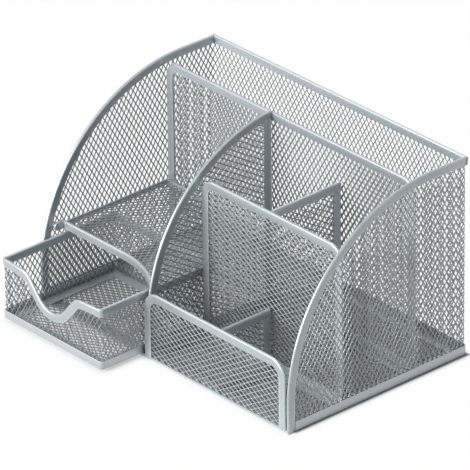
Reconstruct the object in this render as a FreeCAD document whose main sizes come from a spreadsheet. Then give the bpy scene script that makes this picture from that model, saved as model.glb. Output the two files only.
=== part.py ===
import FreeCAD, Part
import os
import Sketcher

# Wire-mesh pen stand with a drawer.
# Every sheet of expanded metal has its free edges folded into a flat steel hem, and the sheets are
# spot-welded to each other.  +X is the right, +Y the back, +Z up.  The origin is the middle of the
# base, on the surface that the stand rests on.  All lengths are in millimetres.

doc = FreeCAD.newDocument("pen_stand")

# ---------------------------------------------------------------------------------------- sizes
SIZES = [
    # name, value, what it is
    ("overall_width", 220.0, "left to right over the hems"),
    ("overall_depth", 140.0, "front to back over the hems, without the drawer"),
    ("overall_height", 130.0, "floor to the top of the back"),
    ("side_radius", 112.5, "radius of the curve on the front of both sides"),
    ("back_bend", 1.6, "outer bend radius of the wall sheet at the back corners"),
    ("mesh_thick", 0.8, "expanded sheet, over its strands"),
    ("grid_pitch", 18.0, "openings that stand for the diamonds, middle to middle"),
    ("grid_bar", 3.8, "sheet left between two openings"),
    ("hem_sheet", 0.6, "steel strip that is folded over an edge"),
    ("hem_wide", 5.5, "face of a folded hem"),
    ("base_hem_high", 6.5, "hem along the bottom of the walls"),
    ("floor_raise", 0.2, "underside of the floor sheet above the table"),
    ("floor_border", 6.5, "smooth border round the floor"),
    ("floor_strip", 5.0, "smooth strip of the floor on each side of a divider"),
    ("bay_wide", 94.4, "left outer face to the left face of the middle divider"),
    ("divider_radius", 105.0, "radius of the curve on the front of the middle divider"),
    ("panel_gap", 1.2, "pen row and front panels to the right side"),
    ("rear_setback", 99.5, "front to the front face of the rear divider"),
    ("rear_drop", 3.5, "top of the rear divider below the top of the back"),
    ("rear_corner", 10.0, "top corners of the rear divider"),
    ("rear_foot_corner", 8.0, "bottom corners of the rear divider"),
    ("row_setback", 44.0, "front to the front face of the pen row panel"),
    ("row_drop", 26.6, "top of the pen row panel below the top of the back"),
    ("row_corner", 10.0, "top corners of the pen row panel"),
    ("front_high", 45.0, "top of the front panel"),
    ("front_corner", 12.0, "top corners of the front panel"),
    ("cross_place", 154.3, "left outer face to the left face of both cross dividers"),
    ("front_cross_high", 40.5, "top of the front cross divider"),
    ("shelf_high", 47.1, "top of the shelf sheet"),
    ("shelf_gap", 2.0, "shelf sheet to the left wall and to the rear divider"),
    ("shelf_edge_thick", 0.8, "upright edge of the shelf, in that gap"),
    ("shelf_edge_rise", 0.3, "upright edge above the shelf sheet"),
    ("shelf_setback", 16.0, "front to the front face of the shelf hem"),
    ("shelf_hem_high", 5.3, "face of the shelf hem"),
    ("shelf_hem_rise", 2.2, "shelf hem above the shelf sheet"),
    ("shelf_curve", 66.0, "radius of the shelf hem at its right end"),
    ("shelf_straight", 57.5, "left outer face to the start of that curve"),
    ("shelf_tab", 6.5, "tab at the left end of the shelf hem, along the wall"),
    ("drawer_play", 1.55, "drawer to the bay, on each side"),
    ("drawer_lift", 0.3, "drawer above the floor border"),
    ("drawer_long", 88.0, "drawer, front to back"),
    ("drawer_high", 40.0, "drawer, top of the side hems to its underside"),
    ("drawer_front_drop", 1.2, "top of the drawer front below the side hems"),
    ("drawer_out", 31.7, "how far the drawer stands open"),
    ("drawer_border", 6.5, "smooth border round the drawer floor"),
    ("scoop_deep", 18.2, "finger scoop below the top of the drawer front"),
    ("scoop_slope", 50.0, "slope of the sides of the scoop, degrees"),
    ("scoop_radius", 14.0, "bottom of the scoop"),
    ("scoop_shoulder", 12.0, "shoulders of the scoop"),
]

sheet = doc.addObject("Spreadsheet::Sheet", "Sizes")
for row, (alias, value, note) in enumerate(SIZES, start=1):
    sheet.set("A%d" % row, note)
    sheet.set("B%d" % row, str(value))
    sheet.setAlias("B%d" % row, alias)
doc.recompute()

# Places that several pieces share, each written once as an expression of the sizes.
FOLD = "(Sizes.mesh_thick + 2 * Sizes.hem_sheet)"
SKIN = "Sizes.hem_sheet"
HEM = "Sizes.hem_wide"
LEFT = "(-Sizes.overall_width / 2)"
RIGHT = "(Sizes.overall_width / 2)"
FRONT = "(-Sizes.overall_depth / 2)"
BACK = "(Sizes.overall_depth / 2)"
TOP = "Sizes.overall_height"
FLOOR_SHEET = "(Sizes.floor_raise + Sizes.mesh_thick)"
FLOOR = f"({FLOOR_SHEET} + {SKIN})"
REAR_TOP = f"({TOP} - Sizes.rear_drop)"
ROW_TOP = f"({TOP} - Sizes.row_drop)"      # the rear cross divider is level with the pen row panel

BAY_LEFT = f"({LEFT} + {FOLD})"
BAY_RIGHT = f"({LEFT} + Sizes.bay_wide)"
HALF_LEFT = f"({BAY_RIGHT} + {FOLD})"
HALF_RIGHT = f"({RIGHT} - {FOLD})"
PANEL_RIGHT = f"({HALF_RIGHT} - Sizes.panel_gap)"
REAR_FACE = f"({FRONT} + Sizes.rear_setback)"
REAR_BACK = f"({REAR_FACE} + {FOLD})"
ROW_FACE = f"({FRONT} + Sizes.row_setback)"
ROW_BACK = f"({ROW_FACE} + {FOLD})"
FRONT_BACK = f"({FRONT} + {FOLD})"
CROSS_LEFT = f"({LEFT} + Sizes.cross_place)"
CROSS_RIGHT = f"({CROSS_LEFT} + {FOLD})"

DRAWER_LEFT = f"({BAY_LEFT} + Sizes.drawer_play)"
DRAWER_RIGHT = f"({BAY_RIGHT} - Sizes.drawer_play)"
DRAWER_FRONT = f"({FRONT} - Sizes.drawer_out)"
DRAWER_BACK = f"({DRAWER_FRONT} + Sizes.drawer_long)"
DRAWER_BASE = f"({FLOOR} + Sizes.drawer_lift)"
DRAWER_TOP = f"({DRAWER_BASE} + Sizes.drawer_high)"
SPARE = "5"          # how far a cutting block runs past what it cuts


def value(expression):
    """The number that an expression of the sizes gives."""
    result = sheet.evalExpression(expression.replace("Sizes.", ""))
    return float(getattr(result, "Value", result))


# --------------------------------------------------------------------------------- shape helpers
def origin_plane(body, role):
    return next(item for item in body.Origin.OriginFeatures if item.Role == role)


def outlined_sketch(body, name, role, points):
    """A closed outline of straight lines, each corner pinned to a pair of expressions."""
    sketch = body.newObject("Sketcher::SketchObject", name)
    sketch.AttachmentSupport = [(origin_plane(body, role), "")]
    sketch.MapMode = "FlatFace"
    corners = [FreeCAD.Vector(value(x), value(y), 0) for x, y in points]
    for i, corner in enumerate(corners):
        sketch.addGeometry(Part.LineSegment(corner, corners[(i + 1) % len(corners)]), False)
    for i in range(len(corners)):
        following = (i + 1) % len(corners)
        sketch.addConstraint(Sketcher.Constraint("Coincident", i, 2, following, 1))
    for i, (x, y) in enumerate(points):
        for kind, letter, expression in (("DistanceX", "x", x), ("DistanceY", "y", y)):
            amount = value(expression)
            constraint = Sketcher.Constraint(kind, -1, 1, i, 1, amount)
            number = sketch.addConstraint(constraint)
            label = "%s%d" % (letter, i)
            sketch.renameConstraint(number, label)
            sketch.setExpression("Constraints." + label, expression)
    return sketch


def block(name, x0, x1, y0, y1, z0, z1):
    """A straight-sided block between six expressions."""
    body = doc.addObject("PartDesign::Body", name)
    outline = [(x0, y0), (x1, y0), (x1, y1), (x0, y1)]
    sketch = outlined_sketch(body, name + "_outline", "XY_Plane", outline)
    sketch.setExpression(".AttachmentOffset.Base.z", z0)
    pad = body.newObject("PartDesign::Pad", name + "_pad")
    pad.Profile = sketch
    pad.setExpression("Length", f"({z1}) - ({z0})")
    body.Tip = pad
    return body


def round_edges(body, radius, along, places):
    """Round the edges of a body that run along one axis through the given places."""
    doc.recompute()
    base = body.Tip
    wanted = [FreeCAD.Vector(*[value(number) for number in place]) for place in places]
    names = []
    for number, edge in enumerate(base.Shape.Edges, start=1):
        if edge.Curve.TypeId != "Part::GeomLine" or edge.tangentAt(0).cross(along).Length > 1e-6:
            continue
        start = edge.Vertexes[0].Point
        for place in wanted:
            if (place - start).cross(along).Length < 1e-4:
                names.append("Edge%d" % number)
                break
    if len(names) != len(places):
        raise ValueError("edges to round not found on " + body.Name)
    fillet = body.newObject("PartDesign::Fillet", body.Name + "_round")
    fillet.Base = (base, names)
    fillet.setExpression("Radius", radius)
    body.Tip = fillet
    return body


def boolean(kind, name, base, tool):
    result = doc.addObject("Part::" + kind, name)
    result.Base = base
    result.Tool = tool
    return result


def cut(name, base, tool):
    return boolean("Cut", name, base, tool)


def common(name, base, tool):
    return boolean("Common", name, base, tool)


def opening_grid(name, role, first_start, first_length, second_start, second_length):
    """Square openings in rows and columns over a rectangle of one plane, through everything."""
    body = doc.addObject("PartDesign::Body", name)
    body.AllowCompound = True
    near, far = (f"({start} + Sizes.grid_bar / 2)" for start in (first_start, second_start))
    side = "(Sizes.grid_pitch - Sizes.grid_bar)"
    corners = [(near, far), (f"{near} + {side}", far), (f"{near} + {side}", f"{far} + {side}"),
               (near, f"{far} + {side}")]
    sketch = outlined_sketch(body, name + "_outline", role, corners)
    pad = body.newObject("PartDesign::Pad", name + "_pad")
    pad.Profile = sketch
    pad.Midplane = True
    pad.setExpression("Length", "4 * Sizes.overall_width")
    doc.recompute()
    rows = body.newObject("PartDesign::MultiTransform", name + "_rows")
    steps = []
    for axis, length in (("H_Axis", first_length), ("V_Axis", second_length)):
        step = doc.addObject("PartDesign::LinearPattern", name + "_along_" + axis[0])
        step.Direction = (sketch, [axis])
        step.Mode = "Spacing"
        step.setExpression("Offset", "Sizes.grid_pitch")
        step.setExpression("Occurrences", f"ceil({length} / Sizes.grid_pitch)")
        steps.append(step)
    rows.Originals = [pad]
    rows.Transformations = steps
    body.Tip = rows
    return body


X_AXIS = FreeCAD.Vector(1, 0, 0)
Y_AXIS = FreeCAD.Vector(0, 1, 0)
Z_AXIS = FreeCAD.Vector(0, 0, 1)


def curved_blank(name, x0, x1, z0, inset, radius):
    """A plate from front to back, set in from the outline: straight front, curve, flat top."""
    front = f"({FRONT} + {inset})"
    top = f"({TOP} - {inset})"
    body = block(name, x0, x1, front, BACK, z0, top)
    return round_edges(body, radius, X_AXIS, [(x0, front, top)])


def side_blank(name, x0, x1, z0, inset):
    """A plate with the outline of the sides, set in from it by the inset."""
    radius = f"min(Sizes.side_radius; Sizes.overall_depth - 2; Sizes.overall_height - 8) - {inset}"
    return curved_blank(name, x0, x1, z0, inset, radius)


def arch_blank(name, x0, x1, y0, y1, z0, z1, corner, foot=None):
    """An upright plate across the stand with its top corners, and if asked its feet, rounded."""
    body = block(name, x0, x1, y0, y1, z0, z1)
    round_edges(body, corner, Y_AXIS, [(x0, y0, z1), (x1, y0, z1)])
    if foot:
        round_edges(body, foot, Y_AXIS, [(x0, y0, z0), (x1, y0, z0)])
    return body


def sheet_faces(face):
    """Front and back of an expanded sheet that lies in the middle of a fold."""
    return f"({face} + {SKIN})", f"({face} + {SKIN} + Sizes.mesh_thick)"


pieces = {}          # node name -> object


def keep(name, item):
    """Name a finished piece of the stand."""
    item.Label = name
    pieces[name] = item
    return item


# Expanded sheet has thousands of fine diamonds.  A plain grid of larger openings stands for them
# here, inside the hems.  Three grids, one for each way that a sheet faces, serve every sheet.
GRID_LEFT = f"({LEFT} + {FOLD})"
GRID_FRONT = f"({DRAWER_FRONT} + {FOLD})"
GRID_LOW = f"({FLOOR} + {HEM})"
GRID_WIDE = f"(Sizes.overall_width - 2 * {FOLD})"
GRID_DEEP = f"({BACK} - {GRID_FRONT})"
GRID_HIGH = f"({TOP} - {GRID_LOW})"
facing_front = opening_grid("facing_front", "XZ_Plane", GRID_LEFT, GRID_WIDE, GRID_LOW, GRID_HIGH)
facing_side = opening_grid("facing_side", "YZ_Plane", GRID_FRONT, GRID_DEEP, GRID_LOW, GRID_HIGH)
facing_up = opening_grid("facing_up", "XY_Plane", GRID_LEFT, GRID_WIDE, GRID_FRONT, GRID_DEEP)


def open_sheet(name, sheet_blank, *windows):
    """Keep a sheet with the openings of each grid that lie inside its window."""
    opened = sheet_blank
    for number, (grid, window) in enumerate(windows, start=1):
        holes = common(f"{name}_holes_{number}", grid, window)
        opened = cut(name if number == len(windows) else f"{name}_open_{number}", opened, holes)
    return keep(name, opened)


# ------------------------------------------------------------------------------------ outer walls
# One sheet makes the left side, the back and the right side.
wall_outer = block(
    "wall_outer", f"{LEFT} + {SKIN}", f"{RIGHT} - {SKIN}",
    f"{FRONT} + {SKIN}", f"{BACK} - {SKIN}", SKIN, f"{TOP} - {SKIN}")
round_edges(wall_outer, "Sizes.back_bend", Z_AXIS, [
    (f"{LEFT} + {SKIN}", f"{BACK} - {SKIN}", SKIN),
    (f"{RIGHT} - {SKIN}", f"{BACK} - {SKIN}", SKIN)])
wall_depth = f"({SKIN} + Sizes.mesh_thick)"
wall_inner = block(
    "wall_inner", f"{LEFT} + {wall_depth}", f"{RIGHT} - {wall_depth}",
    f"{FRONT} - {SPARE}", f"{BACK} - {wall_depth}", f"-{SPARE}", f"{TOP} + {SPARE}")
round_edges(wall_inner, "Sizes.back_bend - Sizes.mesh_thick", Z_AXIS, [
    (f"{LEFT} + {wall_depth}", f"{BACK} - {wall_depth}", f"-{SPARE}"),
    (f"{RIGHT} - {wall_depth}", f"{BACK} - {wall_depth}", f"-{SPARE}")])
wall_sheet = cut("wall_sheet", wall_outer, wall_inner)
wall_side_view = side_blank("wall_side_view", LEFT, RIGHT, f"-{SPARE}", SKIN)
wall_blank = common("wall_blank", wall_sheet, wall_side_view)
wall_side_reach = side_blank(
    "wall_side_reach", f"({LEFT} - 1)", f"({RIGHT} + 1)", "Sizes.base_hem_high", HEM)
wall_corners = block(
    "wall_corners", f"({LEFT} - 2)", f"({RIGHT} + 2)", f"({BACK} - {HEM})", f"({BACK} + 1)",
    "0", f"({TOP} + 1)")
wall_side_window = cut("wall_side_window", wall_side_reach, wall_corners)
wall_back_window = block(
    "wall_back_window", f"({LEFT} + {HEM})", f"({RIGHT} - {HEM})", f"({BACK} - {FOLD})",
    f"({BACK} + 1)", "Sizes.base_hem_high", f"({TOP} - {HEM})")
open_sheet("wall_mesh", wall_blank, (facing_side, wall_side_window), (facing_front, wall_back_window))

# Folded hems round the front and top of each side and along the top of the back.  Round the base
# runs a flange, outside the wall sheet, which stands on its lip.
for side, x0, x1 in (("left", LEFT, BAY_LEFT), ("right", HALF_RIGHT, RIGHT)):
    hem_blank = side_blank(f"side_hem_{side}_blank", x0, x1, "0", "0")
    window = side_blank(f"side_hem_{side}_window", f"{x0} - 1", f"{x1} + 1", f"-{SPARE}", HEM)
    band = cut(f"side_hem_{side}_band", hem_blank, window)
    corner = block(
        f"side_hem_{side}_corner", f"{x0} - 1", f"{x1} + 1",
        f"{BACK} - {FOLD}", f"{BACK} + {SPARE}", f"-{SPARE}", f"{TOP} + {SPARE}")
    short_band = cut(f"side_hem_{side}_short", band, corner)
    keep(f"side_hem_{side}", cut(f"side_hem_{side}", short_band, wall_blank))

top_blank = block("back_hem_blank", LEFT, RIGHT, f"{BACK} - {FOLD}", BACK, f"{TOP} - {HEM}", TOP)
keep("back_hem", cut("back_hem", top_blank, wall_blank))

base_outer = block(
    "base_hem_outer", LEFT, RIGHT, f"{FRONT} + {HEM}", BACK, "0", "Sizes.base_hem_high")
round_edges(base_outer, f"Sizes.back_bend + {SKIN}", Z_AXIS, [(LEFT, BACK, "0"), (RIGHT, BACK, "0")])
base_open = block(
    "base_hem_open", BAY_LEFT, HALF_RIGHT, f"{FRONT} - {SPARE}", f"{BACK} - {FOLD}",
    f"-{SPARE}", f"Sizes.base_hem_high + {SPARE}")
base_seat = block(
    "base_hem_seat", f"{LEFT} + {SKIN}", f"{RIGHT} - {SKIN}", f"{FRONT} - {SPARE}",
    f"{BACK} - {SKIN}", SKIN, f"Sizes.base_hem_high + {SPARE}")
round_edges(base_seat, "Sizes.back_bend", Z_AXIS, [
    (f"{LEFT} + {SKIN}", f"{BACK} - {SKIN}", SKIN),
    (f"{RIGHT} - {SKIN}", f"{BACK} - {SKIN}", SKIN)])
base_strip = cut("base_hem_strip", base_outer, base_open)
keep("base_hem", cut("base_hem", base_strip, base_seat))

# ------------------------------------------------------------------------------------------ floor
# The front edge of the floor ends in a narrow upright lip.  On the sheet lies a smooth border, with
# a strip under each divider.
lip_front = f"({FRONT} + {SKIN})"
lip_back = f"({lip_front} + Sizes.mesh_thick)"
floor_rear = f"({BACK} - {FOLD})"
keep("floor_lip", block("floor_lip", BAY_LEFT, HALF_RIGHT, lip_front, lip_back, "0", FLOOR))
floor_blank = block(
    "floor_blank", BAY_LEFT, HALF_RIGHT, lip_back, floor_rear, "Sizes.floor_raise", FLOOR_SHEET)

BORDER, STRIP = "Sizes.floor_border", "Sizes.floor_strip"
floor_windows = [
    ("bay", f"{BAY_LEFT} + {BORDER}", f"{BAY_RIGHT} - {STRIP}",
     f"{lip_back} + {BORDER}", f"{REAR_FACE} - {STRIP}"),
    ("front_left", f"{HALF_LEFT} + {STRIP}", f"{CROSS_LEFT} - {STRIP}",
     f"{lip_back} + {BORDER}", f"{ROW_FACE} - {STRIP}"),
    ("front_right", f"{CROSS_RIGHT} + {STRIP}", f"{HALF_RIGHT} - {BORDER}",
     f"{lip_back} + {BORDER}", f"{ROW_FACE} - {STRIP}"),
    ("pen_left", f"{HALF_LEFT} + {STRIP}", f"{CROSS_LEFT} - {STRIP}",
     f"{ROW_BACK} + {STRIP}", f"{REAR_FACE} - {STRIP}"),
    ("pen_right", f"{CROSS_RIGHT} + {STRIP}", f"{HALF_RIGHT} - {BORDER}",
     f"{ROW_BACK} + {STRIP}", f"{REAR_FACE} - {STRIP}"),
    ("rear", f"{BAY_LEFT} + {BORDER}", f"{HALF_RIGHT} - {BORDER}",
     f"{REAR_BACK} + {STRIP}", f"{floor_rear} - {BORDER}"),
]
border = block("floor_plate", BAY_LEFT, HALF_RIGHT, lip_back, floor_rear, FLOOR_SHEET, FLOOR)
floor_views = []
for place, x0, x1, y0, y1 in floor_windows:
    window = block(
        f"floor_window_{place}", f"({x0})", f"({x1})", f"({y0})", f"({y1})",
        f"{FLOOR_SHEET} - 1", f"{FLOOR} + 1")
    border = cut(f"floor_plate_{place}", border, window)
    floor_views.append(window)
keep("floor_border", border)
floor_view = doc.addObject("Part::Compound", "floor_view")
floor_view.Links = floor_views
open_sheet("floor_mesh", floor_blank, (facing_up, floor_view))


# --------------------------------------------------------------------------------- cross panels
def hemmed_arch(name, x0, x1, face, top, corner, bottom_hem=True, foot=None):
    """An expanded sheet across the stand with its hem: up the sides, over the top, and if asked
    along the bottom, where the corners are rounded by the foot."""
    back = f"({face} + {FOLD})"
    opening = f"({FLOOR} + {HEM})" if bottom_hem else f"-{SPARE}"
    sheet_low = f"({FLOOR} + {SKIN})" if bottom_hem else FLOOR
    outer = arch_blank(name + "_outer", x0, x1, face, back, FLOOR, top, corner, foot)
    window = arch_blank(
        name + "_window", f"({x0} + {HEM})", f"({x1} - {HEM})", f"({face} - 1)", f"({back} + 1)",
        opening, f"({top} - {HEM})", f"{corner} - {HEM}", foot and f"{foot} - {HEM}")
    near, far = sheet_faces(face)
    blank = arch_blank(
        name + "_blank", f"({x0} + {SKIN})", f"({x1} - {SKIN})", near, far,
        sheet_low, f"({top} - {SKIN})", f"{corner} - {SKIN}", foot and f"{foot} - {SKIN}")
    open_sheet(name + "_mesh", blank, (facing_front, window))
    band = cut(name + "_band", outer, window)
    keep(name + "_hem", cut(name + "_hem", band, blank))


hemmed_arch("rear_divider", BAY_LEFT, HALF_RIGHT, REAR_FACE, REAR_TOP, "Sizes.rear_corner",
            foot="Sizes.rear_foot_corner")
hemmed_arch("pen_row", HALF_LEFT, PANEL_RIGHT, ROW_FACE, ROW_TOP, "Sizes.row_corner")
hemmed_arch("front_panel", BAY_RIGHT, PANEL_RIGHT, FRONT, "Sizes.front_high", "Sizes.front_corner",
            bottom_hem=False)

# -------------------------------------------------------------------------------- middle divider
# It has the curve of the sides, one fold further in, and a hem all round.
def divider_blank(name, x0, x1, z0, inset):
    """A plate with the outline of the divider, set in from it by the inset."""
    radius = f"min(Sizes.divider_radius; Sizes.overall_depth - 10; Sizes.overall_height - 12) - {inset}"
    return curved_blank(name, x0, x1, z0, f"({FOLD} + {inset})", radius)


divider_outer = divider_blank("divider_outer", BAY_RIGHT, HALF_LEFT, FLOOR, "0")
divider_inner = divider_blank(
    "divider_inner", f"{BAY_RIGHT} - 1", f"{HALF_LEFT} + 1", f"({FLOOR} + {HEM})", HEM)
divider_core = divider_blank(
    "divider_core", f"({BAY_RIGHT} + {SKIN})", f"({HALF_LEFT} - {SKIN})", f"({FLOOR} + {SKIN})", SKIN)
behind = block(
    "divider_behind", f"{BAY_RIGHT} - 2", f"{HALF_LEFT} + 2", REAR_FACE, f"{BACK} + {SPARE}",
    f"-{SPARE}", f"{TOP} + {SPARE}")
behind_hem = block(
    "divider_behind_hem", f"{BAY_RIGHT} - 2", f"{HALF_LEFT} + 2", f"{REAR_FACE} - {HEM}",
    f"{BACK} + {SPARE}", f"-{SPARE}", f"{TOP} + {SPARE}")
behind_core = block(
    "divider_behind_core", f"{BAY_RIGHT} - 2", f"{HALF_LEFT} + 2", f"{REAR_FACE} - {SKIN}",
    f"{BACK} + {SPARE}", f"-{SPARE}", f"{TOP} + {SPARE}")
divider_plate = cut("divider_plate", divider_outer, behind)
divider_window = cut("divider_window", divider_inner, behind_hem)
divider_band = cut("divider_band", divider_plate, divider_window)
divider_blank_sheet = cut("middle_divider_blank", divider_core, behind_core)
open_sheet("middle_divider_mesh", divider_blank_sheet, (facing_side, divider_window))
keep("middle_divider_hem", cut("middle_divider_hem", divider_band, divider_blank_sheet))


# --------------------------------------------------------------------------------- cross dividers
def hemmed_cross(name, y0, y1, top):
    """A short sheet from front to back, with a hem along its top, rear and bottom edges."""
    outer = block(name + "_outer", CROSS_LEFT, CROSS_RIGHT, y0, y1, FLOOR, top)
    window = block(
        name + "_window", f"{CROSS_LEFT} - 1", f"{CROSS_RIGHT} + 1", f"{y0} - {SPARE}",
        f"{y1} - {HEM}", f"({FLOOR} + {HEM})", f"{top} - {HEM}")
    near, far = sheet_faces(CROSS_LEFT)
    blank = block(
        name + "_blank", near, far, y0, f"({y1} - {SKIN})", f"({FLOOR} + {SKIN})", f"({top} - {SKIN})")
    front_margin = block(
        name + "_margin", f"{CROSS_LEFT} - 2", f"{CROSS_RIGHT} + 2", f"{y0} - 2 * {SPARE}",
        f"{y0} + {HEM}", "0", TOP)
    view = cut(name + "_view", window, front_margin)
    open_sheet(name + "_mesh", blank, (facing_side, view))
    band = cut(name + "_band", outer, window)
    keep(name + "_hem", cut(name + "_hem", band, blank))


hemmed_cross("rear_cross", ROW_BACK, REAR_FACE, ROW_TOP)
hemmed_cross("front_cross", FRONT_BACK, ROW_FACE, "Sizes.front_cross_high")

# ------------------------------------------------------------------------------------------ shelf
# The shelf is the roof of the drawer bay.  Its hem runs straight, then curves forward to the
# middle divider; at the left it turns along the wall as a short tab.  A thin upright edge runs on
# from there along the wall and the rear divider.
SHELF_FACE = f"({FRONT} + Sizes.shelf_setback)"
SHELF_TURN = f"({LEFT} + Sizes.shelf_straight)"
SHELF_LOW = "(Sizes.shelf_high - Sizes.mesh_thick)"
HEM_TOP = "(Sizes.shelf_high + Sizes.shelf_hem_rise)"
HEM_LOW = f"({HEM_TOP} - Sizes.shelf_hem_high)"


def shelf_front(name, grown, z0, z1):
    """The space in front of the shelf hem, made larger by the given amount."""
    right = f"({SHELF_TURN} + Sizes.shelf_curve + {grown})"
    rear = f"({SHELF_FACE} + {grown})"
    near = f"({SHELF_FACE} - Sizes.shelf_curve - {SPARE})"
    body = block(name, f"({LEFT} - {SPARE})", right, near, rear, z0, z1)
    return round_edges(body, f"Sizes.shelf_curve + {grown}", Z_AXIS, [(right, rear, z0)])


hem_space = shelf_front("shelf_hem_space", FOLD, HEM_LOW, HEM_TOP)
open_space = shelf_front("shelf_open_space", "0", f"{HEM_LOW} - 1", f"{HEM_TOP} + 1")
hem_strip = cut("shelf_hem_strip", hem_space, open_space)
bay_reach = block(
    "shelf_bay_reach", BAY_LEFT, BAY_RIGHT, FRONT, REAR_FACE, f"{HEM_LOW} - 1", f"{HEM_TOP} + 1")
hem_length = common("shelf_hem_length", hem_strip, bay_reach)
tab = block(
    "shelf_hem_tab", BAY_LEFT, f"{BAY_LEFT} + {FOLD}", f"({SHELF_FACE} - Sizes.shelf_tab)",
    f"{SHELF_FACE} + {FOLD} / 2", HEM_LOW, HEM_TOP)
round_edges(tab, "Sizes.shelf_hem_high / 2 - 0.1", X_AXIS, [
    (BAY_LEFT, f"({SHELF_FACE} - Sizes.shelf_tab)", HEM_LOW),
    (BAY_LEFT, f"({SHELF_FACE} - Sizes.shelf_tab)", HEM_TOP)])
keep("shelf_hem", boolean("Fuse", "shelf_hem", hem_length, tab))
edge_blank = block(
    "shelf_edge_blank", BAY_LEFT, BAY_RIGHT, f"({SHELF_FACE} + {FOLD})", REAR_FACE, HEM_LOW,
    "(Sizes.shelf_high + Sizes.shelf_edge_rise)")
edge_open = block(
    "shelf_edge_open", f"({BAY_LEFT} + Sizes.shelf_edge_thick)", f"({BAY_RIGHT} + 1)",
    f"({SHELF_FACE} - 1)", f"({REAR_FACE} - Sizes.shelf_edge_thick)",
    f"{HEM_LOW} - 1", f"{HEM_TOP} + 1")
keep("shelf_edge", cut("shelf_edge", edge_blank, edge_open))
shelf_block = block(
    "shelf_block", f"{BAY_LEFT} + Sizes.shelf_gap", BAY_RIGHT, FRONT, f"{REAR_FACE} - Sizes.shelf_gap",
    SHELF_LOW, "Sizes.shelf_high")
shelf_away = shelf_front("shelf_away", FOLD, f"{SHELF_LOW} - 1", "Sizes.shelf_high + 1")
shelf_blank = cut("shelf_blank", shelf_block, shelf_away)
shelf_reach = block(
    "shelf_reach", f"({BAY_LEFT} + {HEM})", f"({BAY_RIGHT} - {HEM})", FRONT, f"({REAR_FACE} - {HEM})",
    f"{SHELF_LOW} - 1", "Sizes.shelf_high + 1")
shelf_margin = shelf_front("shelf_margin", f"({FOLD} + {HEM})", f"{SHELF_LOW} - 2", "Sizes.shelf_high + 2")
open_sheet("shelf_mesh", shelf_blank, (facing_up, cut("shelf_window", shelf_reach, shelf_margin)))

# ----------------------------------------------------------------------------------------- drawer
DRAWER_INNER_FRONT = f"({DRAWER_FRONT} + {FOLD})"
DRAWER_INNER_BACK = f"({DRAWER_BACK} - {FOLD})"
DRAWER_MIDDLE = f"(({DRAWER_LEFT} + {DRAWER_RIGHT}) / 2)"
FRONT_TOP = f"({DRAWER_TOP} - Sizes.drawer_front_drop)"
SCOOP_TIP = (f"({FRONT_TOP} - Sizes.scoop_deep"
             f" - Sizes.scoop_radius * (1 / cos(Sizes.scoop_slope * 1deg) - 1))")


def scooped_plate(name, x0, x1, y0, y1, z0, inset):
    """The drawer front with its finger scoop, its top edge set in by the inset."""
    top = f"({FRONT_TOP} - {inset})"
    tip = f"({SCOOP_TIP} - {inset} / cos(Sizes.scoop_slope * 1deg))"
    high = f"({DRAWER_TOP} + {SPARE})"
    reach = f"(({high} - {tip}) / tan(Sizes.scoop_slope * 1deg))"
    body = block(name, x0, x1, y0, y1, z0, top)
    doc.recompute()
    solid = body.Tip.Shape.Volume
    notch = [(DRAWER_MIDDLE, tip), (f"{DRAWER_MIDDLE} + {reach}", high),
             (f"{DRAWER_MIDDLE} - {reach}", high)]
    sketch = outlined_sketch(body, name + "_notch", "XZ_Plane", notch)
    pocket = body.newObject("PartDesign::Pocket", name + "_pocket")
    pocket.Profile = sketch
    pocket.Type = "ThroughAll"
    pocket.Midplane = True
    body.Tip = pocket
    doc.recompute()
    if pocket.Shape.Volume >= solid:
        raise ValueError("the scoop cuts nothing on " + name)
    round_edges(body, f"Sizes.scoop_radius + {inset}", Y_AXIS, [(DRAWER_MIDDLE, y0, tip)])
    half = f"(({top} - {tip}) / tan(Sizes.scoop_slope * 1deg))"
    doc.recompute()
    shoulders = [(f"{DRAWER_MIDDLE} + {half}", y0, top), (f"{DRAWER_MIDDLE} - {half}", y0, top)]
    return round_edges(body, f"Sizes.scoop_shoulder - {inset}", Y_AXIS, shoulders)


front_near, front_far = sheet_faces(DRAWER_FRONT)
front_blank = scooped_plate(
    "drawer_front_blank", f"({DRAWER_LEFT} + {SKIN})", f"({DRAWER_RIGHT} - {SKIN})",
    front_near, front_far, f"({DRAWER_BASE} + {SKIN})", SKIN)
hem_plate = scooped_plate(
    "drawer_hem_plate", DRAWER_LEFT, DRAWER_RIGHT, DRAWER_FRONT, DRAWER_INNER_FRONT,
    f"({DRAWER_BASE} + {HEM})", "0")
hem_window = scooped_plate(
    "drawer_hem_window", f"({DRAWER_LEFT} - 1)", f"({DRAWER_RIGHT} + 1)",
    f"({DRAWER_FRONT} - 1)", f"({DRAWER_INNER_FRONT} + 1)", f"({DRAWER_BASE} - 1)", HEM)
front_band = cut("drawer_front_band", hem_plate, hem_window)
front_fold = cut("drawer_front_fold", front_band, front_blank)
DRAWER_VIEW_LOW = f"({DRAWER_BASE} + {HEM})"
DRAWER_VIEW_LEFT, DRAWER_VIEW_RIGHT = f"({DRAWER_LEFT} + {HEM})", f"({DRAWER_RIGHT} - {HEM})"
front_reach = block(
    "drawer_front_reach", DRAWER_VIEW_LEFT, DRAWER_VIEW_RIGHT, f"({DRAWER_FRONT} - 2)",
    f"({DRAWER_INNER_FRONT} + 2)", DRAWER_VIEW_LOW, DRAWER_TOP)
front_window = common("drawer_front_window", front_reach, hem_window)
open_sheet("drawer_front_mesh", front_blank, (facing_front, front_window))

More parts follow.
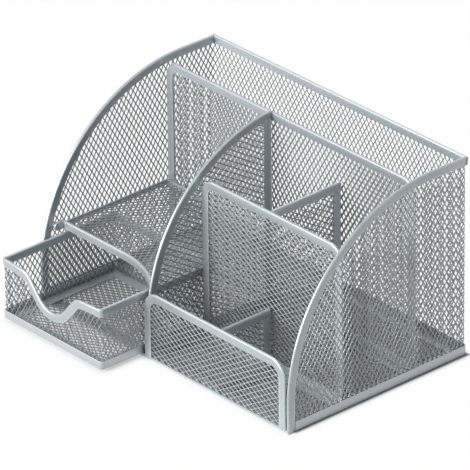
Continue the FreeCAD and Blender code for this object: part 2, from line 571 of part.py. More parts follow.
# The sides and the back of the drawer are one bent sheet that meets the back of the front sheet.
drawer_outer = block(
    "drawer_outer", f"{DRAWER_LEFT} + {SKIN}", f"{DRAWER_RIGHT} - {SKIN}", front_far,
    f"{DRAWER_BACK} - {SKIN}", f"{DRAWER_BASE} + {SKIN}", f"{DRAWER_TOP} - {SKIN}")
drawer_inner = block(
    "drawer_inner", f"{DRAWER_LEFT} + {wall_depth}", f"{DRAWER_RIGHT} - {wall_depth}",
    f"{DRAWER_FRONT} - {SPARE}", f"{DRAWER_BACK} - {wall_depth}", "0", f"{DRAWER_TOP} + {SPARE}")
bent_blank = cut("drawer_bent_blank", drawer_outer, drawer_inner)
keep("drawer_hem_front", cut("drawer_hem_front", front_fold, bent_blank))
DRAWER_VIEW_TOP = f"({DRAWER_TOP} - {HEM})"
side_window = block(
    "drawer_side_window", f"({DRAWER_LEFT} - 1)", f"({DRAWER_RIGHT} + 1)",
    f"({DRAWER_INNER_FRONT} + {HEM})", f"({DRAWER_INNER_BACK} - {HEM})", DRAWER_VIEW_LOW, DRAWER_VIEW_TOP)
back_window = block(
    "drawer_back_window", DRAWER_VIEW_LEFT, DRAWER_VIEW_RIGHT,
    f"({DRAWER_INNER_BACK} - 1)", f"({DRAWER_BACK} + 1)", DRAWER_VIEW_LOW, DRAWER_VIEW_TOP)
open_sheet("drawer_side_mesh", bent_blank, (facing_side, side_window), (facing_front, back_window))

drawer_seat = block(
    "drawer_seat", f"({DRAWER_LEFT} + {SKIN})", f"({DRAWER_RIGHT} - {SKIN})",
    f"({DRAWER_FRONT} + {SKIN})", f"({DRAWER_BACK} - {SKIN})",
    f"({DRAWER_BASE} + {SKIN})", f"({DRAWER_TOP} + {SPARE})")
hem_runs = [
    ("left", DRAWER_LEFT, f"{DRAWER_LEFT} + {FOLD}", DRAWER_INNER_FRONT, DRAWER_INNER_BACK),
    ("right", f"{DRAWER_RIGHT} - {FOLD}", DRAWER_RIGHT, DRAWER_INNER_FRONT, DRAWER_INNER_BACK),
    ("back", DRAWER_LEFT, DRAWER_RIGHT, DRAWER_INNER_BACK, DRAWER_BACK),
    ("front", DRAWER_LEFT, DRAWER_RIGHT, DRAWER_FRONT, DRAWER_INNER_FRONT),
]
# Along the top it is folded over the sheet; along the base it is a flange outside the sheets.
for place, x0, x1, y0, y1 in hem_runs[:3]:
    strip = block(f"drawer_top_{place}_blank", x0, x1, y0, y1, f"{DRAWER_TOP} - {HEM}", DRAWER_TOP)
    keep(f"drawer_top_hem_{place}", cut(f"drawer_top_hem_{place}", strip, bent_blank))
for place, x0, x1, y0, y1 in hem_runs:
    strip = block(f"drawer_base_{place}_blank", x0, x1, y0, y1, DRAWER_BASE, f"{DRAWER_BASE} + {HEM}")
    keep(f"drawer_base_hem_{place}", cut(f"drawer_base_hem_{place}", strip, drawer_seat))

# Its floor is an expanded sheet under a smooth border.
inner_left = f"({DRAWER_LEFT} + {FOLD})"
inner_right = f"({DRAWER_RIGHT} - {FOLD})"
sheet_top = f"({DRAWER_BASE} + Sizes.mesh_thick)"
border_top = f"({sheet_top} + {SKIN})"
drawer_floor_blank = block(
    "drawer_floor_blank", inner_left, inner_right, DRAWER_INNER_FRONT, DRAWER_INNER_BACK,
    DRAWER_BASE, sheet_top)
border_blank = block(
    "drawer_border_blank", inner_left, inner_right, DRAWER_INNER_FRONT, DRAWER_INNER_BACK,
    sheet_top, border_top)
border_window = block(
    "drawer_border_window", f"{inner_left} + Sizes.drawer_border",
    f"{inner_right} - Sizes.drawer_border", f"{DRAWER_INNER_FRONT} + Sizes.drawer_border",
    f"{DRAWER_INNER_BACK} - Sizes.drawer_border", f"{sheet_top} - 1", f"{border_top} + 1")
keep("drawer_floor_border", cut("drawer_floor_border", border_blank, border_window))
open_sheet("drawer_floor_mesh", drawer_floor_blank, (facing_up, border_window))

# ----------------------------------------------------------------------------------- check, write
doc.recompute()
for item in doc.Objects:
    if "Invalid" in item.State or "Error" in item.State:
        raise RuntimeError("%s did not build: %s" % (item.Name, item.State))
for name, item in pieces.items():
    if item.Shape.isNull() or not item.Shape.isValid():
        raise RuntimeError(name + " has no valid shape")
    if len(item.Shape.Solids) != 1:
        raise RuntimeError("%s is %d solids" % (name, len(item.Shape.Solids)))

os.makedirs("parts", exist_ok=True)
for name, item in pieces.items():
    item.Shape.exportStep("parts/%s.step" % name)
    box = item.Shape.BoundBox
    print("%-24s %9.1f mm3   x %7.2f %7.2f   y %7.2f %7.2f   z %6.2f %6.2f" % (
        name, item.Shape.Volume, box.XMin, box.XMax, box.YMin, box.YMax, box.ZMin, box.ZMax))
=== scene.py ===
import math

import bmesh
import bpy
from bpy.props import FloatProperty, FloatVectorProperty, PointerProperty
from bpy.types import Operator, Panel, PropertyGroup
from mathutils import Matrix, Vector


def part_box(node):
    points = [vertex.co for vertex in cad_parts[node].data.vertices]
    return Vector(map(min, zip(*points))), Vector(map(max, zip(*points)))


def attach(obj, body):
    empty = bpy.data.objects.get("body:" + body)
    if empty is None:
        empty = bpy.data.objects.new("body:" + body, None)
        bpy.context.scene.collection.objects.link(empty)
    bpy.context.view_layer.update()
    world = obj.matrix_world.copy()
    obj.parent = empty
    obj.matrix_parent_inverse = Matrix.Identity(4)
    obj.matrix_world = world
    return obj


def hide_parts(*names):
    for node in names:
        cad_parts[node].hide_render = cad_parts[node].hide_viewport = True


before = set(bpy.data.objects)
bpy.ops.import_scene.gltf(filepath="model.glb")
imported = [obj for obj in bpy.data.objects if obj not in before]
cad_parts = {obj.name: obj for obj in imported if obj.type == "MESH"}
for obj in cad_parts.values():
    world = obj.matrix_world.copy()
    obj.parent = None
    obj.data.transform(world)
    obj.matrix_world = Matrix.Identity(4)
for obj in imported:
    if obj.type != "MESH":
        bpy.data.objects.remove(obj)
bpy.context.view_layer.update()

bl_info = {
    "name": "Wire Mesh Pen Stand",
    "version": (1, 0, 0),
    "blender": (4, 5, 0),
    "location": "3D View > Sidebar > Pen Stand",
    "description": "Diamond nets, folded hems and silver coat of a pen stand with a drawer",
    "category": "Add Mesh",
}

MM = 0.001
X, Y, Z = Vector((1, 0, 0)), Vector((0, 1, 0)), Vector((0, 0, 1))

# Ways to lay a flat net: as a floor, upright from left to right, upright from front to back
FLAT, ACROSS, ALONG = (X, Y, Z), (X, Z, -Y), (Y, Z, X)

TUCK = 1.0 * MM  # a net ends this far inside the outer edge of its fold
LAP = 0.2 * MM  # one fold reaches this far into the next
THINNER = 0.98  # thickness that a strip keeps where it ends inside another
SEAM = 0.03 * MM  # opening left where a fold meets its own start
CUT = 0.1 * MM  # a net is cut this far inside its CAD sheet
HEADING = 0.02 * MM  # last run that only gives a bend its heading
SHORT_RUN = 0.1 * MM  # a last run shorter than this is not built
SHORT_STEP = 1e-6  # and any other run shorter than this
SAME_PLACE = 1e-7  # points closer than this become one
STRANDS_MEET = 2e-6  # and where the strands of a net meet
NO_LIMIT = 1.0  # further out than any edge
CHORD_ERROR = 0.02 * MM
SMOOTH_ANGLE = math.radians(40)


def low(node):
    """Lowest corner of a CAD node."""
    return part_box(node)[0]


def high(node):
    """Highest corner of a CAD node."""
    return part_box(node)[1]


# ---------------------------------------- sizes
def length(name, description, millimetres):
    """A length that the sidebar shows, given here in millimetres."""
    return FloatProperty(name=name, description=description, default=millimetres * MM, unit="LENGTH")


def tint(name, description, default):
    """A colour that the sidebar shows."""
    return FloatVectorProperty(name=name, description=description, subtype="COLOR", size=3,
                               min=0, max=1, default=default)


class NetSizes(PropertyGroup):
    """The diamonds of the expanded sheets."""
    long_way: length("Long way", "Diamond, tip to tip", 6.0)
    short_way: length("Short way", "Diamond, side to side", 3.7)
    bond_width: length("Bond width", "Joint between diamonds, across", 0.70)
    bond_length: length("Bond length", "Joint between diamonds, along", 1.0)
    strand_thick: length("Strand thickness", "Through the sheet", 0.36)
    strand_rise: length("Strand rise", "How far each bond is tipped out of the sheet", 0.15)


class FoldSizes(PropertyGroup):
    """The steel strips that are folded over the edges of the sheets."""
    face: length("Face", "Width of a folded hem", 5.5)
    strip: length("Strip", "Thickness of the steel strip", 0.6)
    edge_round: length("Edge round", "Rounding of the strip's cut edge", 0.16)
    crown: length("Crown", "How far a folded face falls away towards its inner edge", 0.40)
    side_curve: length("Side curve", "Radius on the front of both sides", 112.5)
    divider_curve: length("Divider curve", "Radius on the front of the middle divider", 105.0)
    panel_corner: length("Panel corner", "Top corners of the rear divider and pen row", 10.0)
    panel_foot: length("Panel foot", "Bottom corners of the rear divider", 8.0)
    front_corner: length("Front corner", "Top corners of the front panel", 12.0)
    shelf_curve: length("Shelf curve", "Radius of the shelf hem at its right end", 66.0)
    tab_length: length("Tab length", "Shelf tab along the left side", 6.5)
    shelf_straight: length("Shelf straight", "Left side to the start of the shelf curve", 57.5)
    scoop_deep: length("Scoop depth", "Finger scoop below the drawer front", 18.2)
    scoop_slope: FloatProperty(
        name="Scoop slope", description="Slope of the scoop's sides", default=math.radians(50),
        unit="ROTATION")
    scoop_bottom: length("Scoop bottom", "Radius of the scoop's bottom", 14.0)
    scoop_shoulder: length("Scoop shoulder", "Radius of the scoop's shoulders", 12.0)
    drawer_corner: length("Drawer corner", "Outer radius of the drawer's upright corners", 2.4)


class Finish(PropertyGroup):
    """Colours of the coat and of the stage."""
    hem_colour: tint("Hem colour", "Silver coat on the hems", (0.46, 0.50, 0.52))
    # the nets wear the hems' silver coat; their darker colour is painted shade among the strands
    net_colour_painted_darker: tint("Net colour", "Silver coat on the nets", (0.285, 0.305, 0.315))
    floor_colour: tint("Floor colour", "Table under the stand", (0.86, 0.86, 0.86))


# --------------------------- selecting, editing
def clear_selection():
    """Leave edit mode, with nothing selected."""
    if bpy.context.object and bpy.context.object.mode != "OBJECT":
        bpy.ops.object.mode_set(mode="OBJECT")
    bpy.ops.object.select_all(action="DESELECT")


def select_only(piece):
    """Select one piece and make it the active one."""
    clear_selection()
    bpy.context.view_layer.objects.active = piece
    piece.select_set(True)


def start_editing(piece):
    """Edit one piece with all of it selected."""
    select_only(piece)
    bpy.ops.object.mode_set(mode="EDIT")
    bpy.ops.mesh.select_mode(type="VERT")
    bpy.ops.mesh.select_all(action="SELECT")


def stop_editing():
    bpy.ops.object.mode_set(mode="OBJECT")


def pick(piece, kind, wanted):
    """Select only the faces, edges or points of a piece that pass a test."""
    bpy.ops.mesh.select_mode(type=kind)
    bpy.ops.mesh.select_all(action="DESELECT")
    shape = bmesh.from_edit_mesh(piece.data)
    parts = {"FACE": shape.faces, "EDGE": shape.edges, "VERT": shape.verts}[kind]
    for part in parts:
        if wanted(part):
            part.select_set(True)
    bmesh.update_edit_mesh(piece.data)


def apply_new(piece, kind, **settings):
    """Add a modifier, set it and apply it."""
    select_only(piece)
    bpy.ops.object.modifier_add(type=kind)
    modifier = piece.modifiers[-1]
    for key, value in settings.items():
        setattr(modifier, key, value)
    bpy.ops.object.modifier_apply(modifier=modifier.name)


def set_place(piece, axes, origin=(0, 0, 0)):
    """Turn a piece so that its X, Y and Z become the three axes, and move it, in its mesh."""
    select_only(piece)
    turn = Matrix((axes[0], axes[1], axes[2])).transposed().to_4x4()
    piece.matrix_world = Matrix.Translation(origin) @ turn
    bpy.ops.object.transform_apply(location=True, rotation=True, scale=True)


def join(name, pieces):
    """Make several pieces one."""
    clear_selection()
    for piece in pieces:
        piece.select_set(True)
    bpy.context.view_layer.objects.active = pieces[0]
    if len(pieces) > 1:
        bpy.ops.object.join()
    whole = bpy.context.view_layer.objects.active
    whole.name = whole.data.name = name
    return whole


def put_coat(piece, slot):
    """Give a piece the coat of the hems or of the nets."""
    colours = bpy.context.scene.stand_finish
    if slot == "hem":
        material = coat("silver_coat_hem", colours.hem_colour, flake=2600.0, roughness=0.36, metallic=0.66)
    else:
        # darker net colour: painted shade among the strands, on the same silver coat as the hems
        material = coat("silver_coat_net_painted_shade", colours.net_colour_painted_darker, flake=3400.0, roughness=0.35, metallic=0.72)
    piece.data.materials.clear()
    piece.data.materials.append(material)


def hand_over(piece, body, slot, *nodes):
    """Finish a piece: its coat, its body, its slot and the CAD nodes that it stands for."""
    put_coat(piece, slot)
    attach(piece, body)
    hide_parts(*nodes)


def coat_nodes(*names):
    """Give the hems' coat to CAD nodes that show as they are."""
    for name in names:
        put_coat(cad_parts[name], "hem")


# -------------------------------- folded strips
def arc_points(centre, radius, start, end, steps):
    """Points on an arc between two angles in degrees."""
    angles = [math.radians(start + (end - start) * i / steps) for i in range(steps + 1)]
    return [(centre[0] + radius * math.cos(a), centre[1] + radius * math.sin(a)) for a in angles]


def fold_section(sizes, thick, face):
    """Outline of a folded strip: first number inward from the edge, second across the sheet."""
    half, flat, steps = thick / 2, 1.5 * MM, 4
    slot = half - sizes.strip
    slot_root, slot_mouth = slot * 0.8, slot * 0.35
    outside = arc_points((half, 0), half, 90, 270, steps=8)
    inside = arc_points((half, 0), slot_root, 270, 90, steps=4)
    upper = []
    for step in range(steps + 1):
        inward = face - (face - flat) * step / steps
        upper.append((inward, half - sizes.crown * ((inward - flat) / (face - flat)) ** 2))
    lower = [(inward, -across) for inward, across in reversed(upper)]
    return [(face, slot_mouth)] + upper + outside + lower + [(face, -slot_mouth)] + inside


def hem_fold(name, sizes, axis):
    """Lowest and highest corner, middle and folded section of a CAD hem that is thin along an axis."""
    lowest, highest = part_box(name)
    middle = (lowest[axis] + highest[axis]) / 2
    return lowest, highest, middle, fold_section(sizes, highest[axis] - lowest[axis], sizes.face)


def under(section):
    """A fold a hair thinner, for a strip that ends inside another fold."""
    return [(inward, across * THINNER) for inward, across in section]


def flange_section(sizes, lip, face):
    """Outline of a flange on a lip: first number up from the table, second inward."""
    strip, soft = sizes.strip, sizes.edge_round
    bend = 1.6 * strip
    outside = arc_points((bend, bend), bend, 270, 180, steps=5)
    inside = arc_points((bend, bend), bend - strip, 180, 270, steps=3)
    rim = [(face - soft, 0), (face, soft), (face, strip - soft), (face - soft, strip)]
    foot = [(strip, lip), (0, lip)]
    return rim + inside[::-1] + foot + outside[::-1]


def sweep(name, section, start, across, inward, corners):
    """Carry a section along a route of straight runs and round corners.

    across and inward are the directions of the section's two numbers at the start.  A corner is
    a point of the route with its radius; the last one has none."""
    clear_selection()
    bpy.ops.mesh.primitive_circle_add(vertices=len(section), radius=1, fill_type="NGON")
    piece = bpy.context.object
    piece.name = piece.data.name = name
    here = Vector(start)
    for point, (first, second) in zip(piece.data.vertices, section):
        point.co = here + across * first + inward * second
    start_editing(piece)
    for i, (corner, radius) in enumerate(corners):
        corner = Vector(corner)
        heading = (corner - here).normalized()
        if radius is None:
            if (corner - here).length > SHORT_RUN:
                bpy.ops.mesh.extrude_region_move(TRANSFORM_OT_translate={"value": corner - here})
            break
        leaving = (Vector(corners[i + 1][0]) - corner).normalized()
        turn = heading.angle(leaving)
        axis = heading.cross(leaving).normalized()
        setback = radius * math.tan(turn / 2)
        bend_start = corner - heading * setback
        if (bend_start - here).length > SHORT_STEP:
            bpy.ops.mesh.extrude_region_move(TRANSFORM_OT_translate={"value": bend_start - here})
        step_angle = 2 * math.sqrt(2 * CHORD_ERROR / max(radius, MM))
        steps = max(3, math.ceil(turn / step_angle))
        centre = bend_start + axis.cross(heading) * radius
        bpy.ops.mesh.spin(steps=steps, dupli=False, angle=-turn, center=centre, axis=axis)
        here = corner + leaving * setback
    bpy.ops.mesh.select_all(action="SELECT")
    bpy.ops.mesh.remove_doubles(threshold=SAME_PLACE)
    bpy.ops.mesh.normals_make_consistent(inside=False)
    stop_editing()
    bpy.ops.object.shade_smooth_by_angle(angle=SMOOTH_ANGLE)
    return piece


def round_lug(name, lowest, highest, end_radius):
    """A flat lug whose front end is rounded, with soft edges."""
    nearly_round, soft_edge, sharp = 0.96, 0.5 * MM, math.radians(60)
    clear_selection()
    bpy.ops.mesh.primitive_cube_add(size=1, location=(lowest + highest) / 2, scale=highest - lowest)
    lug = bpy.context.object
    lug.name = lug.data.name = name
    bpy.ops.object.transform_apply(location=True, rotation=True, scale=True)
    start_editing(lug)
    middle = (lowest.y + highest.y) / 2

    def crosses_front(edge):
        start, end = (point.co for point in edge.verts)
        return max(start.y, end.y) < middle and start.x != end.x

    pick(lug, "EDGE", crosses_front)
    bpy.ops.mesh.bevel(offset=end_radius * nearly_round, segments=8)
    bpy.ops.mesh.select_all(action="SELECT")
    bpy.ops.mesh.normals_make_consistent(inside=False)
    stop_editing()
    apply_new(lug, "BEVEL", width=soft_edge, segments=4, limit_method="ANGLE", angle_limit=sharp)
    bpy.ops.object.shade_smooth_by_angle(angle=SMOOTH_ANGLE)
    return lug


# --------------------------------- diamond nets
def weave(name, sizes, lowest, highest, keep, long_across=False, short_way=None, flip=False):
    """A flat net in the XY plane that covers a rectangle, kept where the test says so.

    One bond with the two strands that leave it is modelled, then repeated.  flip tips the bonds
    the other way out of the sheet."""
    long_way, short_way = sizes.long_way, short_way or sizes.short_way
    half_width, half_length = sizes.bond_width / 2, sizes.bond_length / 2
    rise = sizes.strand_rise if flip else -sizes.strand_rise
    upright = 0.3           # a face whose normal has less than this in Z
    clear_selection()
    bpy.ops.mesh.primitive_cylinder_add(vertices=4, radius=1, depth=sizes.strand_thick)
    net = bpy.context.object
    net.name = net.data.name = name
    start_editing(net)
    bpy.ops.transform.resize(value=(half_width, half_length, 1))
    pick(net, "VERT", lambda point: point.co.x > half_width / 2)
    bpy.ops.transform.translate(value=(0, 0, rise))
    pick(net, "VERT", lambda point: point.co.x < -half_width / 2)
    bpy.ops.transform.translate(value=(0, 0, -rise))
    reach_x, reach_y = short_way / 2 - half_width, long_way / 2 - half_length
    for side in (1, -1):
        pick(net, "FACE", lambda face: (abs(face.normal.z) < upright and face.normal.x > 0.1
                                        and face.normal.y * side > 0
                                        and face.calc_center_median().x < half_width))
        bpy.ops.mesh.extrude_region_move(
            TRANSFORM_OT_translate={"value": (reach_x, side * reach_y, -rise)})
        bpy.ops.mesh.delete(type="ONLY_FACE")
    pick(net, "FACE", lambda face: (face.calc_center_median().x < -half_width / 4
                                    and abs(face.normal.z) < upright))
    bpy.ops.mesh.delete(type="ONLY_FACE")
    step_x, step_y = short_way, long_way
    if long_across:
        bpy.ops.mesh.select_all(action="SELECT")
        bpy.ops.transform.rotate(value=math.pi / 2, orient_axis="Z", center_override=(0, 0, 0))
        step_x, step_y = long_way, short_way
    stop_editing()

    spare = 3
    columns = math.ceil((highest[0] - lowest[0]) / step_x) + spare
    rows = math.ceil((highest[1] - lowest[1]) / step_y) + spare
    for count, offset in ((columns, (step_x, 0, 0)), (2, (step_x / 2, step_y / 2, 0)),
                          (rows, (0, step_y, 0))):
        apply_new(net, "ARRAY", count=count, use_relative_offset=False, use_constant_offset=True,
                  constant_offset_displace=offset)
    corner = Vector((lowest[0] - step_x, lowest[1] - step_y, 0))
    start_editing(net)
    bpy.ops.mesh.remove_doubles(threshold=STRANDS_MEET)

    def dropped(point):
        across = corner.x + round(point.co.x / (step_x / 2)) * step_x / 2
        along = corner.y + round(point.co.y / (step_y / 2)) * step_y / 2
        inside = (lowest[0] <= across <= highest[0] and lowest[1] <= along <= highest[1])
        return not (inside and keep(across, along))

    pick(net, "VERT", dropped)
    bpy.ops.mesh.delete(type="VERT")
    bpy.ops.mesh.select_all(action="SELECT")
    bpy.ops.mesh.fill_holes(sides=4)
    bpy.ops.mesh.select_all(action="SELECT")
    bpy.ops.mesh.normals_make_consistent(inside=False)
    stop_editing()
    net.location = corner
    bpy.ops.object.transform_apply(location=True, rotation=True, scale=True)
    return net


def flat_net(name, nets, node, body):
    """A net that covers a level CAD sheet from edge to edge."""
    lowest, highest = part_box(node)
    net = weave(name, nets, (lowest.x, lowest.y), (highest.x, highest.y),
                lambda across, along: True, long_across=True)
    set_place(net, FLAT, (0, 0, (lowest.z + highest.z) / 2))
    hand_over(net, body, "mesh", node)


def trim(net, place, outward):
    """Cut a net straight through and drop what lies outward, with the cut strands closed."""
    start_editing(net)
    bpy.ops.mesh.bisect(plane_co=place, plane_no=outward, use_fill=True, clear_outer=True,
                        threshold=SAME_PLACE)
    stop_editing()


def score_bends(net, starts, long):
    """Add points to a net across four lines in each bend, so that it can bend there."""
    for start in starts:
        for part in range(4):
            start_editing(net)
            bpy.ops.mesh.bisect(plane_co=(start + long * part / 3, 0, 0), plane_no=(1, 0, 0),
                                threshold=SAME_PLACE)
            stop_editing()


def cut_away(net):
    """Take the shape that was just added away from a net."""
    cutter = bpy.context.object
    bpy.ops.object.transform_apply(location=True, rotation=True, scale=True)
    apply_new(net, "BOOLEAN", operation="DIFFERENCE", object=cutter, solver="EXACT")
    bpy.data.objects.remove(cutter)


def bend_along(net, name, points):
    """Bend an upright net along a route on the floor plane."""
    route = bpy.data.curves.new(name, "CURVE")
    route.dimensions = "2D"
    line = route.splines.new("POLY")
    line.points.add(len(points) - 1)
    for point, place in zip(line.points, points):
        point.co = (place[0], place[1], 0, 1)
    guide = bpy.data.objects.new(name, route)
    bpy.context.scene.collection.objects.link(guide)
    apply_new(net, "CURVE", object=guide, deform_axis="POS_X")
    bpy.data.objects.remove(guide)
    bpy.data.curves.remove(route)


def in_panel(left, right, bottom, top, corner, foot=0.0):
    """Test for a panel with two rounded top corners, and rounded feet if given."""
    def inside(across, up):
        if not (left < across < right and bottom < up < top):
            return False
        for radius, level, out in ((corner, top - corner, 1), (foot, bottom + foot, -1)):
            if radius and (up - level) * out > 0:
                for centre, side in ((left + radius, -1), (right - radius, 1)):
                    if (across - centre) * side > 0:
                        return math.hypot(across - centre, up - level) < radius
        return True
    return inside


def in_side(front, rear, bottom, top, radius):
    """Test for a side with one large curve from its front to its top."""
    def inside(along, up):
        if not (front < along < rear and bottom < up < top):
            return False
        if along < front + radius and up > top - radius:
            return math.hypot(along - front - radius, up - top + radius) < radius
        return True
    return inside


# ------------------------------------- finishes
def spread(material, source, given, wanted, smooth=False):
    """Turn one range of values into another, in a material."""
    ramp = material.node_tree.nodes.new("ShaderNodeMapRange")
    if smooth:
        ramp.interpolation_type = "SMOOTHSTEP"
    ramp.inputs["From Min"].default_value, ramp.inputs["From Max"].default_value = given
    ramp.inputs["To Min"].default_value, ramp.inputs["To Max"].default_value = wanted
    material.node_tree.links.new(source, ramp.inputs["Value"])
    return ramp.outputs["Result"]


def coat(name, colour, flake, roughness, metallic):
    """Silver powder coat: fine grain in the gloss and the surface, slow drifts of tone, and a painted
    highlight on sharp edges.
    """
    material = bpy.data.materials.get(name)
    if material:
        return material
    material = bpy.data.materials.new(name)
    material.use_nodes = True
    nodes, links = material.node_tree.nodes, material.node_tree.links
    shader = nodes["Principled BSDF"]
    shader.inputs["Metallic"].default_value = metallic
    shader.inputs["IOR"].default_value = 1.45
    shader.inputs["Specular IOR Level"].default_value = 0.25
    where = nodes.new("ShaderNodeTexCoord")

    def noise(scale, detail):
        texture = nodes.new("ShaderNodeTexNoise")
        texture.inputs["Scale"].default_value = scale
        texture.inputs["Detail"].default_value = detail
        links.new(where.outputs["Object"], texture.inputs["Vector"])
        return texture.outputs["Fac"]

    grain, drift = noise(flake, detail=2.0), noise(38.0, detail=3.0)

    def by_grain(lowest, highest):
        return spread(material, grain, (0.3, 0.7), (lowest, highest))

    def toned(share):
        return (*[min(1, part * share) for part in colour], 1)

    tone = nodes.new("ShaderNodeMix")
    tone.data_type = "RGBA"
    tone.inputs["A"].default_value = toned(0.93)
    tone.inputs["B"].default_value = toned(1.06)
    links.new(drift, tone.inputs["Factor"])
    speckle = nodes.new("ShaderNodeHueSaturation")
    links.new(tone.outputs["Result"], speckle.inputs["Color"])
    links.new(by_grain(0.95, 1.05), speckle.inputs["Value"])

    # painted highlight: sharp edges, read from pointiness, get a lighter colour
    edge = nodes.new("ShaderNodeNewGeometry")
    painted_edge_highlight = spread(material, edge.outputs["Pointiness"], (0.52, 0.60), (0.0, 1.0))
    edge_highlight_mix = nodes.new("ShaderNodeMix")
    edge_highlight_mix.data_type = "RGBA"
    edge_highlight_mix.inputs["B"].default_value = toned(1.22)
    links.new(speckle.outputs["Color"], edge_highlight_mix.inputs["A"])
    links.new(painted_edge_highlight, edge_highlight_mix.inputs["Factor"])
    links.new(edge_highlight_mix.outputs["Result"], shader.inputs["Base Color"])
    smoother, rougher = 0.05, 0.06
    links.new(by_grain(roughness - smoother, roughness + rougher), shader.inputs["Roughness"])

    bump = nodes.new("ShaderNodeBump")
    bump.inputs["Strength"].default_value = 0.07
    bump.inputs["Distance"].default_value = 0.05 * MM
    links.new(grain, bump.inputs["Height"])
    links.new(bump.outputs["Normal"], shader.inputs["Normal"])
    return material


# ------------------------------------ the walls
class STAND_OT_wall_net(Operator):
    """Weave the outer wall: left side, back and right side in one bent net"""
    bl_idname = "pen_stand.wall_net"
    bl_label = "Outer wall net"

    def execute(self, context):
        nets, folds = context.scene.stand_nets, context.scene.stand_folds
        lowest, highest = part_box("wall_mesh")
        half_sheet, bend = 0.4 * MM, 1.2 * MM
        left, right = lowest.x + half_sheet, highest.x - half_sheet
        front, back = lowest.y, highest.y - half_sheet
        run = back - bend - front
        quarter = bend * math.pi / 2
        across = right - left - 2 * bend
        total = 2 * run + 2 * quarter + across
        top = high("side_hem_right").z
        outer_front = low("side_hem_right").y
        side_tuck = 0.9 * MM
        side = in_side(outer_front + side_tuck, NO_LIMIT, 0.0, top - side_tuck,
                       folds.side_curve - side_tuck)

        def keep(distance, up):
            return side(front + min(distance, total - distance), up)

        net = weave("wall_net", nets, (0, 0), (total, top), keep, flip=True)
        trim(net, (0, lowest.z + CUT, 0), (0, -1, 0))
        score_bends(net, (run, run + quarter + across), quarter)
        set_place(net, ACROSS)
        corner_points = []
        for centre, first in (((left + bend, back - bend), 180), ((right - bend, back - bend), 90)):
            corner_points += arc_points(centre, bend, first, first - 90, steps=6)
        bend_along(net, "wall_route", [(left, front)] + corner_points + [(right, front)])
        hand_over(net, "stand", "mesh", "wall_mesh")
        return {"FINISHED"}


class STAND_OT_wall_folds(Operator):
    """Fold the hems round the sides and along the top of the back, and the flange round the base"""
    bl_idname = "pen_stand.wall_folds"
    bl_label = "Outer wall hems"

    def execute(self, context):
        sizes = context.scene.stand_folds
        for name in ("side_hem_left", "side_hem_right"):
            lowest, highest, middle, section = hem_fold(name, sizes, 0)
            fold = sweep(name.replace("hem", "fold"), section, (middle, lowest.y, lowest.z), Y, X,
                         [((middle, lowest.y, highest.z), sizes.side_curve),
                          ((middle, highest.y, highest.z), None)])
            hand_over(fold, "stand", "hem", name)

        lowest, highest, middle, section = hem_fold("back_hem", sizes, 1)
        fold = sweep("back_fold", section, (lowest.x, middle, highest.z), -Z, Y,
                     [((highest.x, middle, highest.z), None)])
        hand_over(fold, "stand", "hem", "back_hem")

        lowest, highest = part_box("base_hem")
        lip, corner = 2.0 * MM, 2.2 * MM
        section = flange_section(sizes, lip, highest.z - lowest.z)
        fold = sweep("base_flange", section, lowest, Z, X,
                     [((lowest.x, highest.y, lowest.z), corner),
                      ((highest.x, highest.y, lowest.z), corner),
                      ((highest.x, lowest.y, lowest.z), None)])
        hand_over(fold, "stand", "hem", "base_hem")
        return {"FINISHED"}


# ----------------------------- the inner panels
class STAND_OT_panels(Operator):
    """Weave and hem the rear divider, the pen row and the front panel"""
    bl_idname = "pen_stand.panels"
    bl_label = "Panels across the stand"

    def execute(self, context):
        nets, sizes = context.scene.stand_nets, context.scene.stand_folds
        panels = [("rear_divider", sizes.panel_corner, sizes.panel_foot, False),
                  ("pen_row", sizes.panel_corner, None, True),
                  ("front_panel", sizes.front_corner, None, True)]
        for name, corner, foot, long_across in panels:
            lowest, highest, middle, section = hem_fold(name + "_hem", sizes, 1)
            left_foot = Vector((lowest.x, middle, lowest.z))
            right_foot = Vector((highest.x, middle, lowest.z))
            tops = [((lowest.x, middle, highest.z), corner), ((highest.x, middle, highest.z), corner)]
            if foot:
                seam = Vector((0, middle, lowest.z))
                fold = sweep(name + "_fold", section, seam, Z, Y,
                             [(left_foot, foot)] + tops + [(right_foot, foot),
                              (seam + X * SEAM, None)])
            else:
                fold = sweep(name + "_fold", section, left_foot, X, Y, tops + [(right_foot, None)])
                if name == "pen_row":
                    inner = sizes.face - LAP
                    strip = sweep("strip", under(section), left_foot + X * inner, Z, Y,
                                  [(right_foot - X * inner, None)])
                    fold = join(name + "_fold", [fold, strip])
            hand_over(fold, "stand", "hem", name + "_hem")

            bottom, foot_radius = (lowest.z + TUCK, foot - TUCK) if foot else (-NO_LIMIT, 0.0)
            inside = in_panel(lowest.x + TUCK, highest.x - TUCK, bottom, highest.z - TUCK,
                              corner - TUCK, foot_radius)
            below = 8 * MM
            net = weave(name + "_net", nets, (lowest.x, lowest.z - below), (highest.x, highest.z),
                        inside, long_across=long_across, flip=long_across)
            if not foot:
                trim(net, (0, low(name + "_mesh").z + CUT, 0), (0, -1, 0))
            set_place(net, ACROSS, (0, middle, 0))
            hand_over(net, "stand", "mesh", name + "_mesh")
        return {"FINISHED"}


